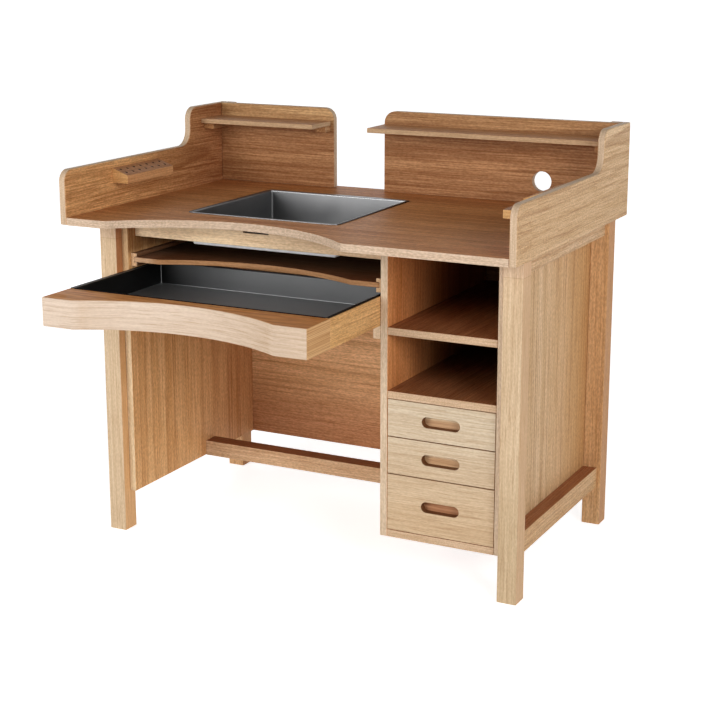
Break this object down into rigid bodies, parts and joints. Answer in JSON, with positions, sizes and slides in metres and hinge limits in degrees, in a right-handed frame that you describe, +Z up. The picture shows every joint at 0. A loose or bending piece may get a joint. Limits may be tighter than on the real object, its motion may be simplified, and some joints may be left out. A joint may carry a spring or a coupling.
{
  "type": "jewelers bench",
  "caption": "Free-standing wooden jewelers bench with a belly-cut worktop, drop-in steel pan, lined catch drawer, pull-out shelf, stepped gallery and side drawer cabinet.",
  "frame": {"origin": "floor level, in the middle of the bench's box with the catch drawer open as at rest", "axes": "+X to the worker's right along the bench's width, +Y from the worker to the back, +Z up"},
  "size_m": [1.15, 0.9384, 1.0165],
  "materials": {
    "oak": "clear satin lacquer on oak",
    "drawer_box_oak": "bare sanded oak and plywood",
    "sheet_steel": "folded sheet steel, dark brushed"
  },
  "bodies": {
    "bench": {"leg_front_left": "oak", "leg_back_left": "oak", "upper_side_rail_left": "oak", "lower_stretcher_left": "oak", "side_panel_left": "oak", "leg_front_right": "oak", "leg_back_right": "oak", "upper_side_rail_right": "oak", "lower_stretcher_right": "oak", "side_panel_right": "oak", "foot_rail": "oak", "cabinet_divider": "oak", "back_panel": "oak", "cabinet_bottom": "oak", "cabinet_fixed_board": "oak", "cabinet_shelf": "oak", "front_apron": "oak", "worktop": "oak", "gallery_side_left": "oak", "gallery_back_left": "oak", "gallery_batten_left": "oak", "gallery_shelf_left": "oak", "shelf_cleat_left": "oak", "gallery_side_right": "oak", "gallery_back_right": "oak", "gallery_batten_right": "oak", "gallery_shelf_right": "oak", "shelf_cleat_right": "oak", "shelf_end_block": "oak", "tool_block_left": "oak", "tool_block_right": "oak", "tool_block_small": "oak", "pullout_runner_left": "oak", "drawer_runner_left": "oak", "bottom_drawer_strip_left": "oak", "middle_drawer_strip_left": "oak", "top_drawer_strip_left": "oak", "pullout_runner_right": "oak", "drawer_runner_right": "oak", "bottom_drawer_strip_right": "oak", "middle_drawer_strip_right": "oak", "top_drawer_strip_right": "oak"},
    "catch_drawer": {"drawer_front": "oak", "drawer_side_left": "oak", "drawer_side_right": "oak", "drawer_back": "oak", "drawer_stop": "oak", "drawer_bottom": "drawer_box_oak", "drawer_liner": "sheet_steel"},
    "pullout_shelf": {"pullout_shelf": "oak"},
    "worktop_pan": {"worktop_pan": "sheet_steel"},
    "bottom_drawer": {"bottom_drawer_front": "oak", "bottom_drawer_box": "drawer_box_oak", "bottom_drawer_bottom": "drawer_box_oak"},
    "middle_drawer": {"middle_drawer_front": "oak", "middle_drawer_box": "drawer_box_oak", "middle_drawer_bottom": "drawer_box_oak"},
    "top_drawer": {"top_drawer_front": "oak", "top_drawer_box": "drawer_box_oak", "top_drawer_bottom": "drawer_box_oak"}
  },
  "joints": [
    {"name": "catch_drawer_slide", "type": "slide", "parent": "bench", "child": "catch_drawer", "axis": [0, -1, 0], "range_m": [-0.2035, 0.03]},
    {"name": "pullout_shelf_slide", "type": "slide", "parent": "bench", "child": "pullout_shelf", "axis": [0, -1, 0], "range_m": [0, 0.28]},
    {"name": "bottom_drawer_slide", "type": "slide", "parent": "bench", "child": "bottom_drawer", "axis": [0, -1, 0], "range_m": [0, 0.4]},
    {"name": "middle_drawer_slide", "type": "slide", "parent": "bench", "child": "middle_drawer", "axis": [0, -1, 0], "range_m": [0, 0.4]},
    {"name": "top_drawer_slide", "type": "slide", "parent": "bench", "child": "top_drawer", "axis": [0, -1, 0], "range_m": [0, 0.4]},
    {"name": "pan_lift", "type": "slide", "parent": "bench", "child": "worktop_pan", "axis": [0, 0, 1], "range_m": [0, 0.1]}
  ]
}
